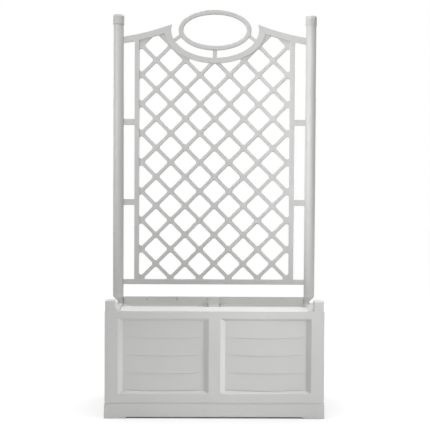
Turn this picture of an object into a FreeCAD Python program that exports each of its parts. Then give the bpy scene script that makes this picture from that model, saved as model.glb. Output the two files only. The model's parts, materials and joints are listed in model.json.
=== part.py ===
"""Planter box with a trellis between two posts, as separate moulded pieces.

Millimetres, +Z up. The origin is on the floor under the middle of the box.
The front faces -Y and +X is to the right, seen from the front.
"""
import FreeCAD, Part
import math
import os

from FreeCAD import Vector

# ---------------------------------------------------------------- box sizes
box_width = 760.0            # across the plinth, at the floor
box_depth = 380.0            # front to back of the plinth, at the floor
wall = 3.0                   # moulded skin
lip_height = 370.0           # front edge of the coping, and the shoulders
coping_rise = 11.0           # the coping climbs inwards to the crest
coping_run = 30.0            # depth of the sloping part
rim_depth = 36.0             # whole thickness of a wall panel
apron_height = 52.0          # inner lip hanging from the crest
shoulder_width = 54.0        # flat top at each front corner, from the wall's end
back_shoulder_width = 42.0   # the same at the back, beside the posts' feet
column_width = 44.5          # corner column, from the wall's end
plinth_height = 52.0
plinth_flare = 2.5           # how far the plinth's foot stands out
plinth_step = 1.2            # how far its top edge stands out
plinth_groove = 1.5          # depth of the groove over the plinth
plinth_groove_height = 5.0
side_drop = 16.0             # from the shoulders to the side walls' flat tops
foot_length = 80.0           # feet at the corners, from the box's end
foot_lift = 5.0              # gap under the walls between the feet
foot_ramp = 12.0
ledge_height = 33.0          # top of the ledge that carries the floor
foot_pad = 6.0               # closed bottom of a corner column

# ---------------------------------------------------------------- wall relief
centre_stile = 40.0
top_rail = 25.5
bottom_rail = 33.0
side_stile = 30.0            # beside the field of a side panel
recess = 9.0
bevel_side = 16.5
bevel_end = 8.5
board_pitch = 61.0
board_count = 4
board_proud = 2.2            # how far a board's lower edge stands out
board_sag = 5.0              # its middle hangs lower than its ends
rib_thickness = 2.5
rib_pitch = 113.0
rib_foot = 40.0              # height where the ribs start, above the floor
tie_hole_radius = 2.6
tie_hole_drop = 11.0         # hole centres below the crest
tie_hole_first = 24.5        # from the middle to the first hole

# ---------------------------------------------------------------- corner joints
socket_radius = 14.5         # round socket in every column
socket_depth = 180.0
socket_wall = 2.4
socket_inset = 30.5          # from the wall's end to the socket's axis
spigot_clearance = 0.3
tongue_thickness = 3.0
tongue_length = 8.0
tongue_bottom = 60.0
tongue_drop = 40.0           # from the shoulder to the tongue's top
tongue_inset = 6.7           # from the outer face to the tongue's middle
slot_clearance = 0.3
corner_screw_heights = (90.0, 160.0)
corner_screw_inset = 21.5    # from the outer face
screw_radius = 2.0
screw_length = 14.0
screw_head_radius = 4.2
screw_head_height = 2.4

# ---------------------------------------------------------------- finials
finial_width = 36.5
finial_height = 39.0
finial_margin = 1.0          # set back from the wall's faces
finial_round = 8.0
finial_edge = 4.0
finial_gap = 0.5             # from the finial's swept foot to the coping's end
finial_spigot = 40.0

# ---------------------------------------------------------------- floor, brace
floor_thickness = 3.0
floor_bearing = 20.0         # how far the floor reaches onto the ledges
floor_rib_depth = 20.0
floor_rib_margin = 6.0
floor_ribs_across = 5
floor_ribs_along = 3
floor_leg_radius = 18.0
floor_leg_pitch = 165.0
drain_radius = 6.0
drain_pitch = 82.5
drain_row = 62.0             # from the middle line to each row of drains
brace_width = 40.0
brace_height = 25.0
brace_drop = 24.0            # from the crest to the brace's top
brace_tab_width = 24.0
brace_tab_length = 7.0
brace_gap = 0.3

# ---------------------------------------------------------------- planting tubs
tub_rim_drop = 27.5          # from the crest to the rims of the tubs
tub_rim_width = 10.0
tub_rim_lip = 8.0            # upright lip round the rim
tub_wall = 2.5
tub_gap = 3.0                # round the rim, to the walls
tub_brace_gap = 4.0          # to the brace, at the middle
tub_taper = 14.0             # each side, from top to bottom
tub_corner = 34.0
tub_floor_gap = 0.3
tub_drain_radius = 4.0
tub_drain_pitch = 90.0
tub_foot_height = 6.0        # ring under the tub that lifts its base
tub_foot_inset = 16.0

# ---------------------------------------------------------------- posts
post_radius = 20.0
post_wall = 2.0
upper_tube_step = 0.5        # the upper tube is slimmer by this, all round
post_inset_x = 21.0          # from the plinth's end to the post's axis
post_inset_y = 24.0          # from the plinth's back to the post's axis
neck_start = 5.0             # from the side walls' top to the foot of the shoe's bend
neck_rise = 24.0             # height of the bend
collar_height = 6.0          # between the bend and the tube
lower_tube_length = 740.0
upper_tube_length = 300.0
cap_wall = 1.2
cap_height = 37.0
cap_round = 9.0
cap_top_wall = 4.0
cap_clearance = 0.3
shoe_spigot = 28.0
sleeve_clearance = 0.2
coupler_length = 90.0
coupler_wall = 2.0
post_screw_drop = 70.0       # from the shoulder to the screws

# ---------------------------------------------------------------- trellis
stile_inset = 60.0           # from a post's axis to the stile's outer edge
trellis_gap = 45.5           # from the crest of the rim to the bottom rail
trellis_thickness = 14.0
rail_height = 18.5
stile_width = 18.0
arm_drop = 48.0              # from the cap's lower edge to the arm's root
arm_thickness = 24.0
arm_rise = 50.0              # from the arm's root to its tip
arm_sag = 6.0                # the arm's hollow below its chord
lattice_thickness = 8.0
bar_width = 14.2
bar_bevel = 2.4              # a bar is narrower at its faces, each side
cell_width = 109.2
cell_height = 108.7
cell_corner = 7.0
first_node_rise = 5.0        # from the bottom rail to the first crossings
smallest_cell = 260.0        # smaller openings stay closed, in square mm
saddle_clearance = 0.2
tenon_height = 10.0
tenon_thickness = 8.0
tenon_reach = 6.0            # past the post's axis
tenon_clearance = 0.3
clip_height = 22.5
clip_thickness = 10.0
first_clip_rise = 308.0      # from the bottom rail to the first clip's middle
clip_pitch = 300.0
clip_count = 2
clip_tongue = 8.0
clip_clearance = 0.2

# ---------------------------------------------------------------- arch, crest
oval_rise = 29.6             # oval's centre above the arms' root, upper edge
oval_half_width = 136.3
oval_half_height = 75.8
oval_band = 18.5
oval_thickness = 14.0
oval_round = 3.5
arch_space = 27.5            # between the oval and the arch's hollow
arch_band = 20.0             # at the bottom
arch_band_side = 26.0
middle_strut_width = 15.5
side_strut_width = 12.0
strut_thickness = 10.0
strut_slope = 38.0           # side struts, below the level, in degrees
strut_turn = 17.5            # where they meet the oval, below the level, in degrees
peg_size = 6.0
peg_length = 8.0
peg_clearance = 0.2

# ---------------------------------------------------------------- derived
body_half_width = box_width / 2 - plinth_flare
body_half_depth = box_depth / 2 - plinth_flare
crest = lip_height + coping_rise
side_top = lip_height - side_drop
tongue_top = lip_height - tongue_drop
brace_top = crest - brace_drop
tub_rim_height = crest - tub_rim_drop
finial_cove = shoulder_width - finial_margin - finial_width - finial_gap
inner_half_width = body_half_width - rim_depth
inner_half_depth = body_half_depth - rim_depth
field_bottom = plinth_height + bottom_rail
field_top = lip_height - top_rail
post_x = box_width / 2 - post_inset_x
post_y = box_depth / 2 - post_inset_y
socket_x = body_half_width - socket_inset
socket_y = body_half_depth - rim_depth / 2
post_screw_height = lip_height - post_screw_drop
upper_tube_radius = post_radius - upper_tube_step
cap_radius = upper_tube_radius + cap_clearance + cap_wall
neck_foot = side_top + neck_start
neck_top = neck_foot + neck_rise
tube_foot_height = neck_top + collar_height
tube_joint_height = tube_foot_height + lower_tube_length
upper_tube_top = tube_joint_height + upper_tube_length
post_height = upper_tube_top + cap_clearance + cap_top_wall
trellis_foot = crest + trellis_gap
rail_top = trellis_foot + rail_height
stile_outer = post_x - stile_inset
stile_inner = stile_outer - stile_width
arm_root_top = post_height - cap_height - arm_drop
arm_root = arm_root_top - arm_thickness
arm_tip = arm_root_top + arm_rise
oval_z = arm_root_top + oval_rise
arch_half_width = oval_half_width + arch_space
arch_drop = oval_half_height + arch_space
clip_centres = [trellis_foot + first_clip_rise + index * clip_pitch
                for index in range(clip_count)]
rail_centre = (trellis_foot + rail_top) / 2
arm_centre = arm_root + arm_thickness / 2
margin = 1.0                 # cutting tools run this far past what they cut


# ---------------------------------------------------------------- helpers
def box(x0, x1, y0, y1, z0, z1):
    """A box between two corners."""
    return Part.makeBox(x1 - x0, y1 - y0, z1 - z0, Vector(x0, y0, z0))


def cylinder(radius, length, base, direction):
    """A cylinder from base along direction."""
    return Part.makeCylinder(radius, length, base, direction)


def polygon(points):
    """A closed wire through points."""
    return Part.makePolygon(points + [points[0]])


def along_x(profile, x0, x1):
    """Extrude a (y, z) profile from x0 to x1."""
    wire = polygon([Vector(x0, y, z) for y, z in profile])
    return Part.Face(wire).extrude(Vector(x1 - x0, 0, 0))


def along_y(profile, y0, y1):
    """Extrude an (x, z) profile from y0 to y1."""
    wire = polygon([Vector(x, y0, z) for x, z in profile])
    return Part.Face(wire).extrude(Vector(0, y1 - y0, 0))


def frustum(low, high, y0, y1):
    """Join rectangle low at y0 to rectangle high at y1: (x0, x1, z0, z1) each."""
    wires = []
    for (x0, x1, z0, z1), y in ((low, y0), (high, y1)):
        corners = [(x0, z0), (x1, z0), (x1, z1), (x0, z1)]
        wires.append(polygon([Vector(x, y, z) for x, z in corners]))
    return Part.makeLoft(wires, True, True)


def rounded_rectangle(half_x, half_y, radius, z):
    """A wire: a rectangle with round corners, centred on the Z axis."""
    straight_x = half_x - radius
    straight_y = half_y - radius
    edges = []
    for turn, (run_x, run_y) in enumerate(
            ((straight_x, straight_y), (-straight_x, straight_y),
             (-straight_x, -straight_y), (straight_x, -straight_y))):
        angle = turn * math.pi / 2
        centre = Vector(run_x, run_y, z)
        points = [centre + Vector(math.cos(angle + step), math.sin(angle + step), 0) * radius
                  for step in (0, math.pi / 4, math.pi / 2)]
        edges.append(Part.Arc(*points).toShape())
    outline = []
    for index, arc in enumerate(edges):
        following = edges[(index + 1) % 4]
        outline.append(arc)
        outline.append(Part.makeLine(arc.Vertexes[-1].Point, following.Vertexes[0].Point))
    return Part.Wire(outline)


def oval_prism(half_width, half_height, half_thickness):
    """An upright elliptical disc round the crest's centre."""
    centre = Vector(0, -half_thickness, oval_z)
    rim = Part.Ellipse(centre + Vector(half_width, 0, 0), centre + Vector(0, 0, half_height),
                       centre).toShape()
    return Part.Face(Part.Wire([rim])).extrude(Vector(0, 2 * half_thickness, 0))


def union(shapes):
    """Fuse a list of solids into one and merge the faces that lie flush."""
    shapes = list(shapes)
    return shapes[0].multiFuse(shapes[1:]).removeSplitter()


def without(solid, tools):
    """Cut a list of tools from a solid."""
    return solid.cut(Part.makeCompound(list(tools)))


def mirrored(shape):
    """The shape's mirror image, left to right."""
    return shape.mirror(Vector(0, 0, 0), Vector(1, 0, 0))


def save(name, shape):
    """Write one node, and stop if it isn't made of sound solids."""
    if not shape.Solids or not shape.isValid():
        raise RuntimeError(name + " is not a sound solid")
    if len(shape.Solids) == 1:
        shape = shape.Solids[0]
    shape.exportStep("parts/" + name + ".step")
    print(name, len(shape.Solids), round(shape.Volume / 1000.0, 1), "cm3")


def save_pair(name, right_shape):
    """Write a right-hand piece and its left-hand mirror image."""
    save("right_" + name, right_shape)
    save("left_" + name, mirrored(right_shape))


# ---------------------------------------------------------------- wall panels
# A wall panel is made standing along X with its outer face at y = 0 and its
# thickness towards +Y, and is then turned and moved to its side of the box.
def wall_profile():
    """A side panel's outside, from plinth to its flat top, in (y, z)."""
    return [(-plinth_flare, 0), (-plinth_step, plinth_height - plinth_groove_height / 2),
            (plinth_groove, plinth_height - plinth_groove_height / 2),
            (0, plinth_height + plinth_groove_height / 2), (0, side_top),
            (rim_depth, side_top), (rim_depth, 0)]


def side_ceiling():
    """The underside of a side panel's flat top, in (y, z)."""
    return [(wall, side_top - wall), (rim_depth - wall, side_top - wall)]


def coping_ceiling():
    """The underside of the sloping coping of a long wall, in (y, z)."""
    slope = coping_rise / coping_run
    return [(wall, lip_height - wall + slope * wall), (coping_run, crest - wall),
            (rim_depth - wall, crest - wall)]


def wall_cavity(half_length, ceiling):
    """The hollow behind the skin, open to the inside under the apron."""
    apron_bottom = crest - apron_height
    profile = [(wall, ledge_height)] + ceiling
    profile += [(rim_depth - wall, apron_bottom), (rim_depth + margin, apron_bottom),
                (rim_depth + margin, ledge_height)]
    return along_x(profile, -half_length, half_length)


def field_frustum(x0, x1, grow, y0, depth):
    """The tapered block of a recessed field, grown sideways and set at y0."""
    low = (x0 - grow, x1 + grow, field_bottom - grow, field_top + grow)
    high = (low[0] + bevel_side, low[1] - bevel_side, low[2] + bevel_end, low[3] - bevel_end)
    return frustum(low, high, y0, y0 + depth)


def board(x0, x1, top, bottom):
    """One board on a field's floor, from flush at its top and its ends to proud
    in the middle of its lower edge, which sags."""
    middle = (x0 + x1) / 2
    seat = recess + wall / 2
    crown = Part.Arc(Vector(x0, recess, bottom), Vector(middle, recess - board_proud, bottom),
                     Vector(x1, recess, bottom)).toShape()
    wires = []
    for front, z in ((crown, bottom), (Part.makeLine(Vector(x0, recess, top),
                                                     Vector(x1, recess, top)), top)):
        back = Part.makePolygon([Vector(x1, recess, z), Vector(x1, seat, z),
                                 Vector(x0, seat, z), Vector(x0, recess, z)])
        wires.append(Part.Wire([front] + back.Edges))
    swell = Part.makeLoft(wires, True, True)
    smile = Part.Arc(Vector(x0, 0, bottom + board_sag), Vector(middle, 0, bottom),
                     Vector(x1, 0, bottom + board_sag)).toShape()
    sides = Part.makePolygon([Vector(x1, 0, bottom + board_sag), Vector(x1, 0, top),
                              Vector(x0, 0, top), Vector(x0, 0, bottom + board_sag)])
    outline = Part.Face(Part.Wire([smile] + sides.Edges)).extrude(Vector(0, seat, 0))
    return swell.common(outline)


def boards(x0, x1):
    """The boards of one field, from the top down."""
    left = x0 + bevel_side
    right = x1 - bevel_side
    top = field_top - bevel_end
    floor = field_bottom + bevel_end
    lines = [max(top - index * board_pitch, floor) for index in range(board_count)]
    lines.append(floor)
    pieces = []
    for upper, lower in zip(lines, lines[1:]):
        if upper - lower > 2 * board_sag:
            pieces.append(board(left, right, upper, lower))
    return pieces


def wall_ribs(half_length, pads):
    """Upright ribs behind the skin, between the ledge and the apron's foot."""
    count = int(half_length // rib_pitch)
    ribs = []
    for index in range(-count, count + 1):
        middle = index * rib_pitch
        rib = box(middle - rib_thickness / 2, middle + rib_thickness / 2, wall / 2,
                  rim_depth, rib_foot, crest - apron_height + wall)
        ribs.append(without(rib, pads))
    return ribs


def foot_gap(half_length, corner):
    """The gap under a wall between its feet, with a ramp at each foot."""
    half = half_length + corner - foot_length
    profile = [(-half - foot_ramp, -margin), (-half - foot_ramp, 0), (-half, foot_lift),
               (half, foot_lift), (half + foot_ramp, 0), (half + foot_ramp, -margin)]
    return along_y(profile, -plinth_flare - margin, rim_depth + margin)


def wall_panel(half_length, hollow_half, fields, blank, ceiling, corner):
    """Finish a wall from its outer block: fields, boards, hollow, ribs, feet."""
    recesses = [field_frustum(x0, x1, 0, 0, recess) for x0, x1 in fields]
    mouths = [box(x0, x1, -margin, 0, field_bottom, field_top) for x0, x1 in fields]
    pads = [field_frustum(x0, x1, wall * 0.7, 0, recess + wall) for x0, x1 in fields]
    hollow = without(wall_cavity(hollow_half, ceiling), pads)
    under = box(-hollow_half, hollow_half, wall, rim_depth + margin, -margin,
                ledge_height - wall)
    panel = without(blank, recesses + mouths + [hollow, under, foot_gap(half_length, corner)])
    raised = []
    for x0, x1 in fields:
        raised += boards(x0, x1)
    return union([panel] + raised + wall_ribs(hollow_half, recesses))


def tapered_block(low, high, z0, z1):
    """Join rectangle low at z0 to rectangle high at z1: (x0, x1, y0, y1) each."""
    wires = []
    for (x0, x1, y0, y1), z in ((low, z0), (high, z1)):
        wires.append(polygon([Vector(x0, y0, z), Vector(x1, y0, z),
                              Vector(x1, y1, z), Vector(x0, y1, z)]))
    return Part.makeLoft(wires, True, True)


def long_blank(shoulder, corner_length):
    """The long wall's outer block: coping between two flat-topped columns."""
    def outline(stand_out):
        half = body_half_width + stand_out
        return (-half, half, -stand_out, rim_depth)

    groove_foot = plinth_height - plinth_groove_height / 2
    groove_top = plinth_height + plinth_groove_height / 2
    plinth = tapered_block(outline(plinth_flare), outline(plinth_step), 0, groove_foot)
    groove = tapered_block(outline(-plinth_groove), outline(0), groove_foot, groove_top)
    body = box(-body_half_width, body_half_width, 0, rim_depth, groove_top, shoulder)
    coping_half = body_half_width - corner_length
    coping = along_x([(0, shoulder - margin), (0, lip_height), (coping_run, crest),
                      (rim_depth, crest), (rim_depth, shoulder - margin)],
                     -coping_half, coping_half)
    return union([plinth, groove, body, coping])


def column_hollow(side, shoulder):
    """The hollow of one corner column, round its socket tube."""
    outer = body_half_width - wall
    inner = body_half_width - shoulder_width - wall - margin
    hollow = box(inner, outer, wall, rim_depth - wall, ledge_height, shoulder - wall)
    shaft = box(body_half_width - column_width + wall, outer, wall, rim_depth - wall,
                foot_pad, ledge_height + margin)
    boss_bottom = shoulder - socket_depth - wall
    boss = cylinder(socket_radius + socket_wall, socket_depth + wall,
                    Vector(socket_x, rim_depth / 2, boss_bottom), Vector(0, 0, 1))
    hollow = union([hollow, shaft]).cut(boss)
    return hollow if side > 0 else mirrored(hollow)


def column_openings(side, shoulder):
    """Socket, tongue slot and screw holes of one corner column."""
    socket = cylinder(socket_radius, socket_depth + margin,
                      Vector(socket_x, rim_depth / 2, shoulder - socket_depth),
                      Vector(0, 0, 1))
    slot_half = tongue_thickness / 2 + slot_clearance
    tongue_x = body_half_width - tongue_inset
    slot = box(tongue_x - slot_half, tongue_x + slot_half, rim_depth - wall - margin,
               rim_depth + margin, tongue_bottom - slot_clearance, tongue_top + slot_clearance)
    openings = [socket, slot]
    for height in corner_screw_heights:
        start = Vector(body_half_width - corner_screw_inset, rim_depth - wall - margin, height)
        openings.append(cylinder(screw_radius, wall + 2 * margin, start, Vector(0, 1, 0)))
    if side < 0:
        openings = [mirrored(opening) for opening in openings]
    return openings


def tie_holes(half_length):
    """Small holes in a row through the apron, just under the crest."""
    holes = []
    position = tie_hole_first
    while position < half_length:
        for x in (-position, position):
            holes.append(cylinder(tie_hole_radius, wall + 2 * margin,
                                  Vector(x, rim_depth - wall - margin, crest - tie_hole_drop),
                                  Vector(0, 1, 0)))
        position += rib_pitch
    return holes


def brace_slot():
    """The slot in the apron that takes the cross brace's tab."""
    half = brace_tab_width / 2 + slot_clearance
    return box(-half, half, rim_depth - wall - margin, rim_depth + margin,
               brace_top - wall - slot_clearance, brace_top + slot_clearance)


def long_wall(shoulder, corner_length):
    """A front or back wall, with a column at each end up to its shoulder."""
    half = body_half_width
    fields = [(-half + column_width, -centre_stile / 2),
              (centre_stile / 2, half - column_width)]
    hollow_half = half - shoulder_width - wall
    panel = wall_panel(half, hollow_half, fields, long_blank(shoulder, corner_length),
                       coping_ceiling(), plinth_flare)
    cuts = tie_holes(hollow_half) + [brace_slot()]
    for side in (-1, 1):
        cuts.append(column_hollow(side, shoulder).cut(Part.makeCompound(
            [field_frustum(x0, x1, wall * 0.7, 0, recess + wall) for x0, x1 in fields])))
        cuts += column_openings(side, shoulder)
    return without(panel, cuts)


def place_front(shape):
    """Move a wall made at y = 0 to the front of the box."""
    moved = shape.copy()
    moved.translate(Vector(0, -body_half_depth, 0))
    return moved


def place_back(shape):
    """Turn a front wall round to the back of the box."""
    moved = place_front(shape)
    moved.rotate(Vector(0, 0, 0), Vector(0, 0, 1), 180)
    return moved


def post_screw_hole(radius, length, start_y):
    """A hole or shank along Y through the back column, into the shoe's leg."""
    return cylinder(radius, length, Vector(socket_x, start_y, post_screw_height),
                    Vector(0, -1, 0))


def back_wall():
    """The back wall: lower at its corners, hollowed round the posts' feet."""
    wall_solid = place_back(long_wall(side_top, back_shoulder_width))
    reach = rim_depth / 2
    hole = post_screw_hole(screw_radius, reach, body_half_depth + margin)
    above = box(0, box_width, 0, box_depth, side_top, crest + margin)
    saddle = shoe_body(saddle_clearance).common(above)
    return without(wall_solid, [hole, mirrored(hole), saddle, mirrored(saddle)])


def side_wall():
    """A side wall, between the columns, made at y = 0 and then turned."""
    half = inner_half_depth
    fields = [(-half + side_stile, half - side_stile)]
    blank = along_x(wall_profile(), -half, half)
    panel = wall_panel(half, half - wall, fields, blank, side_ceiling(),
                       rim_depth + plinth_flare)
    tongues = []
    holes = []
    for side in (-1, 1):
        end = side * half
        tip = side * (half + tongue_length)
        tongues.append(box(min(end, tip), max(end, tip), tongue_inset - tongue_thickness / 2,
                           tongue_inset + tongue_thickness / 2, tongue_bottom, tongue_top))
        for height in corner_screw_heights:
            start = Vector(end - side * (wall + margin), corner_screw_inset, height)
            holes.append(cylinder(screw_radius + spigot_clearance, wall + 2 * margin, start,
                                  Vector(side, 0, 0)))
    panel = without(union([panel] + tongues), holes)
    panel.rotate(Vector(0, 0, 0), Vector(0, 0, 1), 90)
    panel.translate(Vector(body_half_width, 0, 0))
    return panel


def corner_screws():
    """Screws through the side walls' ends into the columns."""
    screws = []
    seat = inner_half_depth - wall
    for side_x in (-1, 1):
        for side_y in (-1, 1):
            for height in corner_screw_heights:
                x = side_x * (body_half_width - corner_screw_inset)
                start = Vector(x, side_y * seat, height)
                shank = cylinder(screw_radius, screw_length, start, Vector(0, side_y, 0))
                head = cylinder(screw_head_radius, screw_head_height, start,
                                Vector(0, -side_y, 0))
                screws.append(union([shank, head]))
    return Part.makeCompound(screws)


# ---------------------------------------------------------------- finials
def finial():
    """The right-hand front finial: rounded block, swept foot and spigot."""
    outer = body_half_width - finial_margin
    inner = outer - finial_width
    front = -body_half_depth + finial_margin
    back = -inner_half_depth - finial_margin
    block = box(inner, outer, front, back, lip_height, lip_height + finial_height)
    upright = [edge for edge in block.Edges
               if abs(edge.Vertexes[0].Z - edge.Vertexes[1].Z) > finial_height / 2]
    block = block.makeFillet(finial_edge, upright)
    top = [edge for edge in block.Edges
           if edge.BoundBox.ZMin > lip_height + finial_height - margin]
    block = block.makeFillet(finial_round, top)
    hollow_centre = Vector(inner - finial_cove, front, lip_height + finial_cove)
    foot = box(inner - finial_cove, inner + finial_edge, front + finial_edge,
               back - finial_edge, lip_height, lip_height + finial_cove)
    foot = foot.cut(cylinder(finial_cove, box_depth, hollow_centre, Vector(0, 1, 0)))
    spigot = cylinder(socket_radius - spigot_clearance, finial_spigot,
                      Vector(socket_x, -socket_y, lip_height - finial_spigot), Vector(0, 0, 1))
    return union([block, foot, spigot])


# ---------------------------------------------------------------- floor, brace
def floor_panel():
    """Ribbed floor on the ledges, notched round the columns, with legs."""
    top = ledge_height + floor_thickness
    reach_x = inner_half_width + floor_bearing
    reach_y = inner_half_depth + floor_bearing
    plate = box(-reach_x, reach_x, -reach_y, reach_y, ledge_height, top)
    corner_x = body_half_width - shoulder_width - wall - brace_gap
    corner_y = inner_half_depth - brace_gap
    end_x = inner_half_width - brace_gap
    notches = [box(corner_x, box_width, corner_y, box_depth, 0, top + margin),
               box(end_x, box_width, corner_y - wall, box_depth, 0, top + margin)]
    notches += [mirrored(notch) for notch in notches]
    notches += [notch.mirror(Vector(0, 0, 0), Vector(0, 1, 0)) for notch in notches]
    plate = without(plate, notches)
    ribs = []
    rib_x = inner_half_width - floor_rib_margin
    rib_y = inner_half_depth - floor_rib_margin
    bottom = ledge_height - floor_rib_depth
    for index in range(floor_ribs_across):
        x = rib_x * (2 * index / (floor_ribs_across - 1) - 1)
        x = max(min(x, rib_x - wall / 2), -rib_x + wall / 2)
        ribs.append(box(x - wall / 2, x + wall / 2, -rib_y, rib_y, bottom, ledge_height))
    for index in range(floor_ribs_along):
        y = rib_y * (2 * index / (floor_ribs_along - 1) - 1)
        y = max(min(y, rib_y - wall / 2), -rib_y + wall / 2)
        ribs.append(box(-rib_x, rib_x, y - wall / 2, y + wall / 2, bottom, ledge_height))
    legs = []
    bores = []
    for x in (-floor_leg_pitch, 0, floor_leg_pitch):
        for y in (-drain_row, drain_row):
            foot = Vector(x, y, 0)
            legs.append(cylinder(floor_leg_radius, ledge_height, foot, Vector(0, 0, 1)))
            bores.append(cylinder(floor_leg_radius - wall, ledge_height + margin,
                                  foot - Vector(0, 0, margin), Vector(0, 0, 1)))
    drains = []
    columns = int((rib_x - drain_radius) // drain_pitch)
    for index in range(-columns, columns + 1):
        for y in (-drain_row / 2, drain_row / 2):
            drains.append(cylinder(drain_radius, floor_thickness + 2 * margin,
                                   Vector(index * drain_pitch + drain_pitch / 4, y,
                                          ledge_height - margin), Vector(0, 0, 1)))
    webs = without(union(ribs + legs), bores)
    return without(union([plate, webs]), drains)


def cross_brace():
    """Channel across the middle, hooked into both aprons."""
    half = brace_width / 2
    reach = inner_half_depth - brace_gap
    channel = box(-half, half, -reach, reach, brace_top - brace_height, brace_top)
    inside = box(-half + wall, half - wall, -reach - margin, reach + margin,
                 brace_top - brace_height - margin, brace_top - wall)
    ends = box(-brace_tab_width / 2, brace_tab_width / 2, -reach - brace_tab_length,
               reach + brace_tab_length, brace_top - wall, brace_top)
    return union([channel.cut(inside), ends])


# ---------------------------------------------------------------- planting tubs
def tub():
    """The right-hand tub: tapered bin with a lipped rim and drains."""
    inner_x = brace_width / 2 + tub_brace_gap
    outer_x = inner_half_width - tub_gap
    middle = (inner_x + outer_x) / 2
    half_x = (outer_x - inner_x) / 2
    half_y = inner_half_depth - tub_gap
    base = ledge_height + floor_thickness + tub_floor_gap
    underside = base + tub_foot_height
    body_x = half_x - tub_rim_width
    body_y = half_y - tub_rim_width
    corner = tub_corner - tub_rim_width

    def bin_solid(inset, z0, z1, taper):
        low = rounded_rectangle(body_x - taper - inset, body_y - taper - inset,
                                corner - inset, z0)
        high = rounded_rectangle(body_x - inset, body_y - inset, corner - inset, z1)
        return Part.makeLoft([low, high], True, True)

    seat = tub_rim_height - tub_rim_lip
    outer = bin_solid(0, underside, seat, tub_taper)
    inner = bin_solid(tub_wall, underside + tub_wall, seat + margin, tub_taper)
    rim_low = Part.Face(rounded_rectangle(half_x, half_y, tub_corner, seat - tub_wall))
    rim = rim_low.extrude(Vector(0, 0, tub_wall + tub_rim_lip))
    tray = Part.Face(rounded_rectangle(half_x - tub_wall, half_y - tub_wall,
                                       tub_corner - tub_wall, seat))
    rim = rim.cut(tray.extrude(Vector(0, 0, tub_rim_lip + margin)))
    foot_x = body_x - tub_taper - tub_foot_inset
    foot_y = body_y - tub_taper - tub_foot_inset
    foot = Part.Face(rounded_rectangle(foot_x, foot_y, corner, base)).extrude(
        Vector(0, 0, tub_foot_height + tub_wall / 2))
    foot_hollow = Part.Face(rounded_rectangle(foot_x - tub_wall, foot_y - tub_wall,
                                              corner - tub_wall, base - margin)).extrude(
        Vector(0, 0, tub_foot_height + margin))
    shell = union([outer, rim, foot.cut(foot_hollow)]).cut(inner)
    drains = []
    for x in (-tub_drain_pitch, 0, tub_drain_pitch):
        for y in (-tub_drain_pitch / 2, tub_drain_pitch / 2):
            drains.append(cylinder(tub_drain_radius, tub_wall + 2 * margin,
                                   Vector(x, y, underside - margin), Vector(0, 0, 1)))
    shell = without(shell, drains)
    shell.translate(Vector(middle, 0, 0))
    return shell


# ---------------------------------------------------------------- posts
def tube(radius, bore, bottom, top):
    """A post tube standing on the post's axis."""
    base = Vector(post_x, post_y, bottom)
    outside = cylinder(radius, top - bottom, base, Vector(0, 0, 1))
    inside = cylinder(bore, top - bottom + 2 * margin, base - Vector(0, 0, margin),
                      Vector(0, 0, 1))
    return outside.cut(inside)


def tenon_windows():
    """The windows in a post that take the tenons, and their screws' holes."""
    half = tenon_thickness / 2 + tenon_clearance
    rise = tenon_height / 2 + tenon_clearance
    windows = []
    for height in [rail_centre, arm_centre] + clip_centres:
        windows.append(box(post_x - post_radius - margin, post_x, post_y - half,
                           post_y + half, height - rise, height + rise))
        windows.append(cylinder(screw_radius, post_radius + margin,
                                Vector(post_x, post_y, height), Vector(0, 1, 0)))
    return windows


def lower_tube():
    """The lower tube, with windows for the bottom rail and the clips."""
    solid = tube(post_radius, post_radius - post_wall, tube_foot_height, tube_joint_height)
    return without(solid, tenon_windows())


def upper_tube():
    """The slimmer upper tube, with a window for the arm."""
    solid = tube(upper_tube_radius, post_radius - post_wall, tube_joint_height,
                 upper_tube_top)
    return without(solid, tenon_windows())


def coupler():
    """The sleeve inside both tubes, across their joint."""
    radius = post_radius - post_wall - sleeve_clearance
    solid = tube(radius, radius - coupler_wall, tube_joint_height - coupler_length / 2,
                 tube_joint_height + coupler_length / 2)
    return without(solid, tenon_windows())


def post_cap():
    """Domed cap over the upper tube: a turned piece."""
    bottom = post_height - cap_height
    bore = upper_tube_radius + cap_clearance
    ceiling = post_height - cap_top_wall
    shoulder = post_height - cap_round
    crown = cap_radius - cap_round
    diagonal = cap_round * math.sqrt(0.5)
    corner = Part.Arc(Vector(cap_radius, 0, shoulder),
                      Vector(crown + diagonal, 0, shoulder + diagonal),
                      Vector(crown, 0, post_height)).toShape()
    path = Part.makePolygon([Vector(crown, 0, post_height), Vector(0, 0, post_height),
                             Vector(0, 0, ceiling), Vector(bore, 0, ceiling),
                             Vector(bore, 0, bottom), Vector(cap_radius, 0, bottom),
                             Vector(cap_radius, 0, shoulder)])
    face = Part.Face(Part.Wire([corner] + path.Edges))
    cap = face.revolve(Vector(0, 0, 0), Vector(0, 0, 1), 360)
    cap.translate(Vector(post_x, post_y, 0))
    return cap


def shoe_body(grow):
    """A shoe's leg, its S-shaped neck and its collar, grown by a clearance."""
    leg_radius = socket_radius - spigot_clearance
    neck_steps = 6
    rings = []
    for index in range(neck_steps + 1):
        fraction = index / neck_steps
        blend = (1 - math.cos(math.pi * fraction)) / 2
        radius = leg_radius + (post_radius - leg_radius) * blend
        centre = Vector(socket_x + (post_x - socket_x) * blend,
                        socket_y + (post_y - socket_y) * blend,
                        neck_foot + neck_rise * fraction)
        rings.append(Part.Wire([Part.Circle(centre, Vector(0, 0, 1), radius + grow).toShape()]))
    neck = Part.makeLoft(rings, True, False)
    leg_foot = side_top - socket_depth + spigot_clearance
    leg = cylinder(leg_radius + grow, neck_foot - leg_foot,
                   Vector(socket_x, socket_y, leg_foot), Vector(0, 0, 1))
    collar = cylinder(post_radius + grow, collar_height, Vector(post_x, post_y, neck_top),
                      Vector(0, 0, 1))
    return union([leg, neck, collar])


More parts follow.
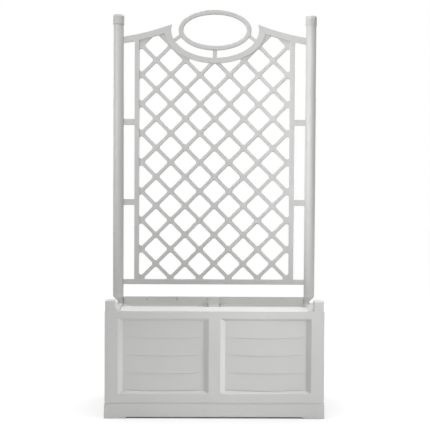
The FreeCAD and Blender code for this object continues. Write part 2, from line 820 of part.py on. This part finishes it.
def post_shoe():
    """Foot of the post: its body, and a spigot into the lower tube."""
    spigot = cylinder(post_radius - post_wall - sleeve_clearance, shoe_spigot,
                      Vector(post_x, post_y, tube_foot_height), Vector(0, 0, 1))
    shoe = union([shoe_body(0), spigot])
    pilot = post_screw_hole(screw_radius, screw_length, body_half_depth)
    return shoe.cut(pilot)


def post_screws():
    """Screws through the back wall into the shoes' legs."""
    start_y = body_half_depth
    shank = post_screw_hole(screw_radius, screw_length, start_y)
    head = post_screw_hole(screw_head_radius, screw_head_height,
                           start_y + screw_head_height)
    screw = union([shank, head])
    return Part.makeCompound([screw, mirrored(screw)])


# ---------------------------------------------------------------- trellis
def arm_edge(x0, z0, x1, z1):
    """A shallow hollow arc from (x0, z0) to (x1, z1)."""
    run = Vector(x1 - x0, 0, z1 - z0)
    middle = Vector((x0 + x1) / 2, 0, (z0 + z1) / 2)
    drop = Vector(run.z, 0, -run.x)
    if drop.z > 0:
        drop = drop * -1
    drop.normalize()
    return Part.Arc(Vector(x0, 0, z0), middle + drop * arm_sag, Vector(x1, 0, z1)).toShape()


def arch_tip_x():
    """Where the arch's hollow meets the height of the arms' tips."""
    rise = arm_tip - oval_z
    return arch_half_width * math.sqrt(1 - (rise / arch_drop) ** 2)


def under_arms(drop, half_thickness):
    """Everything below the arms' upper edges, lowered by drop."""
    tip = arch_tip_x()
    floor = trellis_foot
    left = arm_edge(-post_x, arm_root_top - drop, -tip, arm_tip - drop)
    right = arm_edge(tip, arm_tip - drop, post_x, arm_root_top - drop)
    bridge = Part.makeLine(Vector(-tip, 0, arm_tip - drop), Vector(tip, 0, arm_tip - drop))
    rest = Part.makePolygon([Vector(post_x, 0, arm_root_top - drop), Vector(post_x, 0, floor),
                             Vector(-post_x, 0, floor),
                             Vector(-post_x, 0, arm_root_top - drop)])
    face = Part.Face(Part.Wire([left, bridge, right] + rest.Edges))
    slab = face.extrude(Vector(0, 2 * half_thickness, 0))
    slab.translate(Vector(0, -half_thickness, 0))
    return slab


def oval_disc(grow, half_thickness):
    """The oval's disc, grown past its outer edge or drawn in."""
    return oval_prism(oval_half_width + grow, oval_half_height + grow, half_thickness)


def arch_disc(half_thickness):
    """The disc out to the far edge of the arch band, which widens upwards."""
    return oval_prism(arch_half_width + arch_band_side, arch_drop + arch_band,
                      half_thickness)


def cell_tool(x, z):
    """The opening of one lattice cell, narrowest at mid-thickness."""
    inset_x = bar_width / 2 * math.hypot(cell_width, cell_height) / cell_height
    inset_z = bar_width / 2 * math.hypot(cell_width, cell_height) / cell_width
    wires = []
    reach = lattice_thickness / 2 + margin / 10
    for y, grow in ((-reach, bar_bevel), (0, 0), (reach, bar_bevel)):
        half_x = cell_width / 2 - inset_x + grow
        half_z = cell_height / 2 - inset_z + grow
        near_x = half_x - cell_corner / 2
        near_z = half_z - cell_corner / 2
        side_x = cell_corner / 2
        side_z = cell_corner / 2
        corners = [(near_x, -side_z), (near_x, side_z), (side_x, near_z), (-side_x, near_z),
                   (-near_x, side_z), (-near_x, -side_z), (-side_x, -near_z),
                   (side_x, -near_z)]
        wires.append(polygon([Vector(x + dx, y, z + dz) for dx, dz in corners]))
    return Part.makeLoft(wires, True, True)


def lattice_cells(region):
    """Every lattice opening inside the region, clipped to it at its edges."""
    first_row = rail_top + first_node_rise
    columns = int(stile_inner // (cell_width / 2)) + 1
    rows = int((arm_tip - first_row) // (cell_height / 2)) + 1
    cells = []
    for row in range(rows + 1):
        for column in range(-columns, columns + 1):
            if (row + column) % 2:
                continue
            cell = cell_tool(column * cell_width / 2, first_row + row * cell_height / 2)
            opening = cell.common(region)
            if opening.Volume > smallest_cell * lattice_thickness:
                cells.append(opening)
    return cells


def tenon(height):
    """The right-hand tenon that enters a post at a height."""
    return box(post_x - post_radius - 2 * tenon_reach, post_x + tenon_reach,
               -tenon_thickness / 2, tenon_thickness / 2, height - tenon_height / 2,
               height + tenon_height / 2)


def post_saddle(radius, bottom, top):
    """The room round a post that the ends of rails are hollowed to."""
    return cylinder(radius + saddle_clearance, top - bottom, Vector(post_x, 0, bottom),
                    Vector(0, 0, 1))


def screw_pilot(height):
    """The hole in a tenon for its screw."""
    return cylinder(screw_radius, tenon_thickness + 2 * margin,
                    Vector(post_x, -tenon_thickness / 2 - margin, height), Vector(0, 1, 0))


def strut_frame(side):
    """Foot point on the arch's hollow, direction towards the oval, and the way
    between the two."""
    if side == 0:
        return Vector(0, 0, oval_z - arch_drop), Vector(0, 0, 1), arch_space
    slope = math.radians(strut_slope)
    turn = math.radians(strut_turn)
    run, fall = math.cos(slope), math.sin(slope)
    start_x = oval_half_width * math.cos(turn)
    start_z = oval_half_height * math.sin(turn)
    # the way u with ((start_x + u run) / width)^2 + ((start_z + u fall) / drop)^2 = 1
    square = (run / arch_half_width) ** 2 + (fall / arch_drop) ** 2
    linear = start_x * run / arch_half_width ** 2 + start_z * fall / arch_drop ** 2
    rest = (start_x / arch_half_width) ** 2 + (start_z / arch_drop) ** 2 - 1
    way = (math.sqrt(linear ** 2 - square * rest) - linear) / square
    foot = Vector(side * (start_x + way * run), 0, oval_z - start_z - way * fall)
    return foot, Vector(-side * run, 0, fall), way


def strut_bar(side, start, end, width, thickness):
    """A bar on a strut's line, from start to end past the arch's hollow."""
    foot, inward, _ = strut_frame(side)
    bar = box(-width / 2, width / 2, -thickness / 2, thickness / 2, start, end)
    tilt = math.degrees(math.atan2(inward.x, inward.z))
    bar.rotate(Vector(0, 0, 0), Vector(0, 1, 0), tilt)
    bar.translate(foot)
    return bar


def trellis_panel():
    """Lattice, stiles, rail, arms and arch in one moulding, at y = 0."""
    half = trellis_thickness / 2
    rail = box(-post_x, post_x, -half, half, trellis_foot, rail_top)
    stiles = [box(side * stile_inner if side > 0 else -stile_outer,
                  stile_outer if side > 0 else -stile_inner,
                  -half, half, trellis_foot, arm_tip) for side in (-1, 1)]
    below_top = under_arms(0, half)
    below_arms = under_arms(arm_thickness, half)
    arch_outer = arch_disc(half)
    arch_inner = oval_disc(arch_space, half + margin)
    stiles = [stile.common(below_top) for stile in stiles]
    arms = below_top.cut(below_arms)
    band = arch_outer.common(below_top)
    opening = box(-stile_inner, stile_inner, -half, half, rail_top, arm_tip)
    region = opening.common(below_arms).cut(arch_outer)
    thin = lattice_thickness / 2
    plate = box(-stile_inner - bar_bevel, stile_inner + bar_bevel, -thin, thin,
                rail_top - bar_bevel, arm_tip).common(under_arms(arm_thickness / 2, thin))
    plate = without(plate, lattice_cells(region))
    panel = union([rail] + stiles + [arms, band, plate]).cut(arch_inner)
    saddles = [post_saddle(post_radius, trellis_foot - margin, tube_joint_height),
               post_saddle(upper_tube_radius, tube_joint_height, post_height)]
    saddles += [mirrored(saddle) for saddle in saddles]
    panel = without(panel, saddles)
    tenons = [tenon(rail_centre), tenon(arm_centre)]
    tenons += [mirrored(piece) for piece in tenons]
    cuts = [screw_pilot(rail_centre), screw_pilot(arm_centre)]
    for height in clip_centres:
        cuts.append(clip_socket(height))
    cuts += [mirrored(cut) for cut in cuts]
    for side in (-1, 0, 1):
        cuts.append(strut_bar(side, -peg_length - peg_clearance, margin,
                              peg_size + 2 * peg_clearance, peg_size + 2 * peg_clearance))
    panel = without(union([panel] + tenons), cuts)
    panel.translate(Vector(0, post_y, 0))
    return panel


def clip_socket(height):
    """The socket in a stile's outer edge that takes a clip's tongue."""
    half = tenon_thickness / 2 + clip_clearance
    rise = tenon_height / 2 + clip_clearance
    return box(stile_outer - clip_tongue - clip_clearance, stile_outer + margin, -half, half,
               height - rise, height + rise)


def trellis_clip(height):
    """A short bar from the right-hand stile to its post."""
    bar = box(stile_outer + clip_clearance, post_x, -clip_thickness / 2, clip_thickness / 2,
              height - clip_height / 2, height + clip_height / 2)
    bar = bar.cut(post_saddle(post_radius, height - clip_height, height + clip_height))
    tongue = box(stile_outer - clip_tongue, stile_outer + clip_tongue, -tenon_thickness / 2,
                 tenon_thickness / 2, height - tenon_height / 2, height + tenon_height / 2)
    clip = union([bar, tongue, tenon(height)]).cut(screw_pilot(height))
    clip.translate(Vector(0, post_y, 0))
    return clip


def trellis_screws():
    """Screws from behind, through the tubes into every tenon."""
    screws = []
    for height in [rail_centre, arm_centre] + clip_centres:
        radius = post_radius if height < tube_joint_height else upper_tube_radius
        seat = Vector(post_x, post_y + radius, height)
        shank = cylinder(screw_radius, radius + tenon_thickness / 2, seat, Vector(0, -1, 0))
        head = cylinder(screw_head_radius, screw_head_height, seat, Vector(0, 1, 0))
        screw = union([shank, head])
        screws += [screw, mirrored(screw)]
    return Part.makeCompound(screws)


def oval_crest():
    """Oval ring on three struts, with pegs that plug into the arch."""
    half = oval_thickness / 2
    ring = oval_disc(0, half).cut(oval_disc(-oval_band, half + margin))
    rims = [edge for edge in ring.Edges if edge.BoundBox.YLength < margin / 10]
    ring = ring.makeFillet(oval_round, rims)
    pieces = [ring]
    room = oval_disc(arch_space - peg_clearance, half)
    for side in (-1, 0, 1):
        way = strut_frame(side)[2]
        width = side_strut_width if side else middle_strut_width
        strut = strut_bar(side, -width, way + oval_band / 2, width, strut_thickness)
        pieces.append(strut.common(room))
        pieces.append(strut_bar(side, -peg_length, way, peg_size, peg_size))
    crest_piece = union(pieces)
    crest_piece.translate(Vector(0, post_y, 0))
    return crest_piece


# ---------------------------------------------------------------- the nodes
def main():
    os.makedirs("parts", exist_ok=True)
    save("front_panel", place_front(long_wall(lip_height, shoulder_width)))
    save("back_panel", back_wall())
    save_pair("side_panel", side_wall())
    save("corner_screws", corner_screws())
    front_finial = finial()
    save("front_right_finial", front_finial)
    save("front_left_finial", mirrored(front_finial))
    save("floor_panel", floor_panel())
    save("cross_brace", cross_brace())
    save_pair("tub", tub())
    save_pair("post_shoe", post_shoe())
    save("post_screws", post_screws())
    save_pair("lower_tube", lower_tube())
    save_pair("coupler", coupler())
    save_pair("upper_tube", upper_tube())
    save_pair("post_cap", post_cap())
    save("trellis_panel", trellis_panel())
    for level, height in zip(("lower", "upper"), clip_centres):
        save_pair(level + "_clip", trellis_clip(height))
    save("trellis_screws", trellis_screws())
    save("oval_crest", oval_crest())


main()
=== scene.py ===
"""Looks of the planter with trellis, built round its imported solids.

Metres, +Z up. The front faces -Y and +X is to the right, seen from the front.
"""
import json
import math

import bpy
from mathutils import Matrix, Vector

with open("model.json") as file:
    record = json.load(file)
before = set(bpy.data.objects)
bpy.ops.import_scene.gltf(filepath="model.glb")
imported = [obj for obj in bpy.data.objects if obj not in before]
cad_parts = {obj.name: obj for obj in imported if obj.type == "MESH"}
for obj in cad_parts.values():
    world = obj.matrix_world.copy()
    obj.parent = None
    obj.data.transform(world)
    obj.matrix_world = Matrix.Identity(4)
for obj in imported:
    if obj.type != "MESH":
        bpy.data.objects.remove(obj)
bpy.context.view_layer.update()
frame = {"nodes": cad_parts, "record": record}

nodes = frame["nodes"]

# ---------------------------------------------------------------- camera
IMAGE_WIDTH = 430            # pixels, a square image
FOCAL_PIXELS = 1046.75
SENSOR = 36.0
CAMERA_PLACE = Vector((-0.047, -3.763, 0.840))
CAMERA_YAW = -0.012846       # all three in radians
CAMERA_PITCH = 0.038789
CAMERA_ROLL = -0.005484

# ---------------------------------------------------------------- floor and light
AMBIENT = 0.25               # grey light from all sides
FLOOR_HALF = 14.0            # half the floor's side
FLOOR_DROP = 0.0005          # how far the floor lies below the part's feet
FLOOR_WHITE = 0.97           # the floor, as the camera and reflections see it
FLOOR_GREY = 0.86            # the floor, as its light reaches the part
FLOOR_SEEN_SHARE = 0.12      # share of the lamps' light on it that the camera sees
CONTACT_REACH = 0.26         # metres that the soft contact shadow reaches
CONTACT_UNDER = 0.02         # its level under the part
CONTACT_EDGE = 0.83          # its level at the foot of a wall
OPEN_AT_WALL = 0.46          # how open the sky is at the foot of a wall
OPEN_CLEAR = 0.97            # and where the shadow ends

# name, place, target, width, height, watts, spread in degrees
LAMPS = (
    ("top_back", (0.0, 0.15, 3.2), (0.0, 0.0, 0.2), 2.6, 1.2, 37.0, 180),
    ("top_front", (0.0, -0.7, 3.3), (0.0, -0.05, 0.2), 3.0, 2.0, 34.0, 180),
    ("left", (-2.6, -2.6, 1.6), (0.0, 0.15, 1.2), 0.8, 0.8, 1.2, 28),
    ("left_post", (-1.3, -1.4, 1.0), (-0.36, 0.166, 0.95), 0.5, 1.2, 0.65, 45),
    ("right_post", (-0.35, -1.6, 1.0), (0.36, 0.166, 0.95), 0.5, 1.2, 0.50, 45),
    ("right_post_edge", (-0.55, -1.1, 1.0), (0.37, 0.166, 0.98), 0.25, 1.1, 0.38, 26),
    ("box_right", (2.4, -1.3, 1.3), (0.05, -0.19, 0.2), 0.5, 0.4, 1.05, 26),
    ("box_graze", (2.2, -0.62, 0.7), (0.05, -0.19, 0.2), 0.3, 0.3, 0.10, 26),
    ("rear_left", (-1.9, 3.1, 1.5), (0.0, 0.2, 0.6), 1.4, 1.6, 16.0, 180),
    ("rear_right", (1.9, 3.1, 1.5), (0.0, 0.2, 0.6), 1.4, 1.6, 11.0, 180),
)


def add_camera():
    """The camera, at the photograph's place and angle."""
    forward_level = Vector((-math.sin(CAMERA_YAW), math.cos(CAMERA_YAW), 0))
    right_level = Vector((math.cos(CAMERA_YAW), math.sin(CAMERA_YAW), 0))
    up_level = Vector((0, 0, 1))
    sine, cosine = math.sin(CAMERA_PITCH), math.cos(CAMERA_PITCH)
    forward = forward_level * cosine - up_level * sine
    up = forward_level * sine + up_level * cosine
    sine, cosine = math.sin(CAMERA_ROLL), math.cos(CAMERA_ROLL)
    across = right_level * cosine - up * sine
    upward = right_level * sine + up * cosine
    data = bpy.data.cameras.new("camera")
    data.sensor_width = SENSOR
    data.lens = FOCAL_PIXELS / IMAGE_WIDTH * SENSOR
    data.clip_start = 0.05
    data.clip_end = 60.0
    camera = bpy.data.objects.new("camera", data)
    bpy.context.scene.collection.objects.link(camera)
    turn = Matrix((across, upward, -forward)).transposed().to_4x4()
    camera.matrix_world = Matrix.Translation(CAMERA_PLACE) @ turn
    bpy.context.scene.camera = camera


def add_area(name, place, target, width, height, watts, spread):
    """A soft rectangular lamp at a place, aimed at a target."""
    data = bpy.data.lights.new(name, "AREA")
    data.shape = "RECTANGLE"
    data.size = width
    data.size_y = height
    data.energy = watts
    data.spread = math.radians(spread)
    lamp = bpy.data.objects.new(name, data)
    bpy.context.scene.collection.objects.link(lamp)
    lamp.location = place
    aim = (Vector(target) - Vector(place)).normalized()
    lamp.rotation_mode = "QUATERNION"
    lamp.rotation_quaternion = aim.to_track_quat("-Z", "Y")


def seen_factor(tree):
    """One for what is seen: directly, through a clear surface or in a reflection."""
    path = tree.nodes.new("ShaderNodeLightPath")
    factor = path.outputs["Is Camera Ray"]
    for kind in ("Is Transmission Ray", "Is Glossy Ray"):
        larger = tree.nodes.new("ShaderNodeMath")
        larger.operation = "MAXIMUM"
        tree.links.new(factor, larger.inputs[0])
        tree.links.new(path.outputs[kind], larger.inputs[1])
        factor = larger.outputs[0]
    return factor


def add_world():
    """White to the eye and in reflections, grey as light."""
    world = bpy.data.worlds.new("studio")
    bpy.context.scene.world = world
    world.use_nodes = True
    tree = world.node_tree
    tree.nodes.clear()
    out = tree.nodes.new("ShaderNodeOutputWorld")
    seen = tree.nodes.new("ShaderNodeBackground")
    seen.inputs["Color"].default_value = (1, 1, 1, 1)
    seen.inputs["Strength"].default_value = 1.0
    light = tree.nodes.new("ShaderNodeBackground")
    light.inputs["Color"].default_value = (1, 1, 1, 1)
    light.inputs["Strength"].default_value = AMBIENT
    mix = tree.nodes.new("ShaderNodeMixShader")
    tree.links.new(seen_factor(tree), mix.inputs[0])
    tree.links.new(light.outputs[0], mix.inputs[1])
    tree.links.new(seen.outputs[0], mix.inputs[2])
    tree.links.new(mix.outputs[0], out.inputs[0])


def add_floor():
    """A white floor with the part's soft contact shadow."""
    mesh = bpy.data.meshes.new("floor")
    signs = ((-1, -1), (1, -1), (1, 1), (-1, 1))
    mesh.from_pydata([(x * FLOOR_HALF, y * FLOOR_HALF, -FLOOR_DROP) for x, y in signs], [],
                     [(0, 1, 2, 3)])
    floor = bpy.data.objects.new("floor", mesh)
    bpy.context.scene.collection.objects.link(floor)
    material = bpy.data.materials.new("floor_white")
    material.use_nodes = True
    tree = material.node_tree
    tree.nodes.clear()
    out = tree.nodes.new("ShaderNodeOutputMaterial")
    seen = seen_factor(tree)
    # grey as light, and only a little of it to the eye
    shade = tree.nodes.new("ShaderNodeMapRange")
    shade.inputs["To Min"].default_value = FLOOR_GREY
    shade.inputs["To Max"].default_value = FLOOR_GREY * FLOOR_SEEN_SHARE
    tree.links.new(seen, shade.inputs["Value"])
    diffuse = tree.nodes.new("ShaderNodeBsdfDiffuse")
    tree.links.new(shade.outputs[0], diffuse.inputs["Color"])
    # white to the eye, darker under and close to the part
    open_sky = tree.nodes.new("ShaderNodeAmbientOcclusion")
    open_sky.samples = 24
    open_sky.inputs["Distance"].default_value = CONTACT_REACH
    contact = tree.nodes.new("ShaderNodeValToRGB")
    ramp = contact.color_ramp
    ramp.elements[0].position = 0.0
    ramp.elements[0].color = (CONTACT_UNDER, CONTACT_UNDER, CONTACT_UNDER, 1)
    ramp.elements[1].position = OPEN_CLEAR
    ramp.elements[1].color = (1, 1, 1, 1)
    edge = ramp.elements.new(OPEN_AT_WALL)
    edge.color = (CONTACT_EDGE, CONTACT_EDGE, CONTACT_EDGE, 1)
    tree.links.new(open_sky.outputs["AO"], contact.inputs["Fac"])
    level = tree.nodes.new("ShaderNodeMath")
    level.operation = "MULTIPLY"
    level.inputs[1].default_value = FLOOR_WHITE
    tree.links.new(seen, level.inputs[0])
    glow = tree.nodes.new("ShaderNodeEmission")
    tree.links.new(contact.outputs["Color"], glow.inputs["Color"])
    tree.links.new(level.outputs[0], glow.inputs["Strength"])
    both = tree.nodes.new("ShaderNodeAddShader")
    tree.links.new(diffuse.outputs[0], both.inputs[0])
    tree.links.new(glow.outputs[0], both.inputs[1])
    tree.links.new(both.outputs[0], out.inputs[0])
    mesh.materials.append(material)


# ---------------------------------------------------------------- materials
def plastic(name, colour, roughness=0.42, grain=0.10, mottle=0.035, streak=0.0):
    """Moulded plastic: fine grain, soft colour changes, painted highlights on the edges,
    and darker towards the bottom.
    """
    material = bpy.data.materials.new(name)
    material.use_nodes = True
    tree = material.node_tree
    tree.nodes.clear()

    def node(kind, **settings):
        made = tree.nodes.new(kind)
        for key, value in settings.items():
            setattr(made, key, value)
        return made

    def link(source, target):
        tree.links.new(source, target)

    out = node("ShaderNodeOutputMaterial")
    shader = node("ShaderNodeBsdfPrincipled")
    place = node("ShaderNodeTexCoord")
    # large soft changes of tone
    cloud = node("ShaderNodeTexNoise")
    cloud.inputs["Scale"].default_value = 3.2
    cloud.inputs["Detail"].default_value = 3.0
    link(place.outputs["Object"], cloud.inputs["Vector"])
    tone = node("ShaderNodeMapRange")
    tone.inputs["To Min"].default_value = 1 - mottle
    tone.inputs["To Max"].default_value = 1 + mottle
    link(cloud.outputs["Fac"], tone.inputs["Value"])
    # fine specks
    speck = node("ShaderNodeTexNoise")
    speck.inputs["Scale"].default_value = 420.0
    speck.inputs["Detail"].default_value = 2.0
    link(place.outputs["Object"], speck.inputs["Vector"])
    fleck = node("ShaderNodeMapRange")
    fleck.inputs["To Min"].default_value = 0.985
    fleck.inputs["To Max"].default_value = 1.015
    link(speck.outputs["Fac"], fleck.inputs["Value"])
    both = node("ShaderNodeMath", operation="MULTIPLY")
    link(tone.outputs[0], both.inputs[0])
    link(fleck.outputs[0], both.inputs[1])
    # painted highlight: every edge made slightly lighter
    rounded = node("ShaderNodeBevel", samples=6)
    rounded.inputs["Radius"].default_value = 0.0018
    flat = node("ShaderNodeNewGeometry")
    likeness = node("ShaderNodeVectorMath", operation="DOT_PRODUCT")
    link(rounded.outputs[0], likeness.inputs[0])
    link(flat.outputs["Normal"], likeness.inputs[1])
    # painted highlight: this edge mask lightens the colour by up to 5 % along every edge
    edge = node("ShaderNodeMapRange")
    edge.inputs["From Min"].default_value = 1.0
    edge.inputs["From Max"].default_value = 0.86
    edge.inputs["To Min"].default_value = 1.0
    edge.inputs["To Max"].default_value = 1.05
    link(likeness.outputs["Value"], edge.inputs["Value"])
    edge_lit_tone = node("ShaderNodeMath", operation="MULTIPLY")
    link(both.outputs[0], edge_lit_tone.inputs[0])
    link(edge.outputs[0], edge_lit_tone.inputs[1])
    # darker towards the bottom: the lowest part a little darker
    split = node("ShaderNodeSeparateXYZ")
    link(place.outputs["Object"], split.inputs[0])
    low = node("ShaderNodeMapRange")
    low.inputs["From Min"].default_value = 0.0
    low.inputs["From Max"].default_value = 0.09
    low.inputs["To Min"].default_value = 0.965
    low.inputs["To Max"].default_value = 1.0
    link(split.outputs["Z"], low.inputs["Value"])
    darker_low = node("ShaderNodeMath", operation="MULTIPLY")
    link(edge_lit_tone.outputs[0], darker_low.inputs[0])
    link(low.outputs[0], darker_low.inputs[1])
    tint = node("ShaderNodeVectorMath", operation="SCALE")
    tint.inputs[0].default_value = colour
    link(darker_low.outputs[0], tint.inputs["Scale"])
    link(tint.outputs[0], shader.inputs["Base Color"])
    # roughness: satin with duller patches
    patch = node("ShaderNodeTexNoise")
    patch.inputs["Scale"].default_value = 26.0
    patch.inputs["Detail"].default_value = 4.0
    link(place.outputs["Object"], patch.inputs["Vector"])
    dull = node("ShaderNodeMapRange")
    dull.inputs["To Min"].default_value = roughness - 0.05
    dull.inputs["To Max"].default_value = roughness + 0.09
    link(patch.outputs["Fac"], dull.inputs["Value"])
    link(dull.outputs[0], shader.inputs["Roughness"])
    # bump: moulded grain over faint long waves
    grain_noise = node("ShaderNodeTexNoise")
    grain_noise.inputs["Scale"].default_value = 900.0
    grain_noise.inputs["Detail"].default_value = 2.0
    link(place.outputs["Object"], grain_noise.inputs["Vector"])
    wave = node("ShaderNodeTexNoise")
    wave.inputs["Scale"].default_value = 14.0
    wave.inputs["Detail"].default_value = 1.0
    link(place.outputs["Object"], wave.inputs["Vector"])
    wave_bump = node("ShaderNodeBump")
    wave_bump.inputs["Strength"].default_value = 0.25
    wave_bump.inputs["Distance"].default_value = 0.0012
    link(wave.outputs["Fac"], wave_bump.inputs["Height"])
    link(rounded.outputs[0], wave_bump.inputs["Normal"])
    last = wave_bump
    if streak:
        stretch = node("ShaderNodeMapping")
        stretch.inputs["Scale"].default_value = (1.0, 1.0, 0.02)
        link(place.outputs["Object"], stretch.inputs["Vector"])
        drawn = node("ShaderNodeTexNoise")
        drawn.inputs["Scale"].default_value = 420.0
        link(stretch.outputs[0], drawn.inputs["Vector"])
        drawn_bump = node("ShaderNodeBump")
        drawn_bump.inputs["Strength"].default_value = streak
        drawn_bump.inputs["Distance"].default_value = 0.0003
        link(drawn.outputs["Fac"], drawn_bump.inputs["Height"])
        link(last.outputs[0], drawn_bump.inputs["Normal"])
        last = drawn_bump
    grain_bump = node("ShaderNodeBump")
    grain_bump.inputs["Strength"].default_value = grain
    grain_bump.inputs["Distance"].default_value = 0.0004
    link(grain_noise.outputs["Fac"], grain_bump.inputs["Height"])
    link(last.outputs[0], grain_bump.inputs["Normal"])
    link(grain_bump.outputs[0], shader.inputs["Normal"])
    shader.inputs["IOR"].default_value = 1.47
    shader.inputs["Specular IOR Level"].default_value = 0.42
    link(shader.outputs[0], out.inputs["Surface"])
    return material


def steel(name):
    """Zinc plated steel with fine turning marks."""
    material = bpy.data.materials.new(name)
    material.use_nodes = True
    tree = material.node_tree
    shader = tree.nodes["Principled BSDF"]
    shader.inputs["Metallic"].default_value = 1.0
    place = tree.nodes.new("ShaderNodeTexCoord")
    noise = tree.nodes.new("ShaderNodeTexNoise")
    noise.inputs["Scale"].default_value = 300.0
    tree.links.new(place.outputs["Object"], noise.inputs["Vector"])
    rough = tree.nodes.new("ShaderNodeMapRange")
    rough.inputs["To Min"].default_value = 0.22
    rough.inputs["To Max"].default_value = 0.42
    tree.links.new(noise.outputs["Fac"], rough.inputs["Value"])
    tree.links.new(rough.outputs[0], shader.inputs["Roughness"])
    ramp = tree.nodes.new("ShaderNodeValToRGB")
    ramp.color_ramp.elements[0].color = (0.50, 0.50, 0.51, 1)
    ramp.color_ramp.elements[1].color = (0.66, 0.66, 0.67, 1)
    tree.links.new(noise.outputs["Fac"], ramp.inputs["Fac"])
    tree.links.new(ramp.outputs["Color"], shader.inputs["Base Color"])
    bump = tree.nodes.new("ShaderNodeBump")
    bump.inputs["Strength"].default_value = 0.15
    bump.inputs["Distance"].default_value = 0.0002
    tree.links.new(noise.outputs["Fac"], bump.inputs["Height"])
    tree.links.new(bump.outputs[0], shader.inputs["Normal"])
    return material


def dress(names, material):
    """Give CAD nodes a material."""
    for name in names:
        data = nodes[name].data
        data.materials.clear()
        data.materials.append(material)


def dress_all():
    """A material for every node, by the slots of the record."""
    walls = plastic("wall_plastic", (0.63, 0.63, 0.62))
    posts = plastic("post_plastic", (0.575, 0.575, 0.565), roughness=0.36, grain=0.04,
                    streak=0.12)
    shoes = plastic("shoe_plastic", (0.62, 0.62, 0.61), grain=0.06)
    caps = plastic("cap_plastic", (0.54, 0.54, 0.53), roughness=0.46, grain=0.16)
    net = plastic("trellis_plastic", (0.57, 0.57, 0.56), grain=0.08)
    liner = plastic("liner_plastic", (0.62, 0.62, 0.61), roughness=0.5, grain=0.14)
    base = plastic("floor_plastic", (0.45, 0.45, 0.44), roughness=0.55, grain=0.16)
    by_slot = {"wall_plastic": walls, "post_plastic": posts, "shoe_plastic": shoes,
               "cap_plastic": caps, "trellis_plastic": net, "liner_plastic": liner,
               "floor_plastic": base, "screw_steel": steel("screw_steel")}
    for part in frame["record"]["subparts"]:
        dress([part["node"]], by_slot[part["material_slot"]])


# ---------------------------------------------------------------- the scene
bpy.context.scene.view_settings.view_transform = "Standard"
add_camera()
add_world()
add_floor()
for lamp in LAMPS:
    add_area(*lamp)
dress_all()
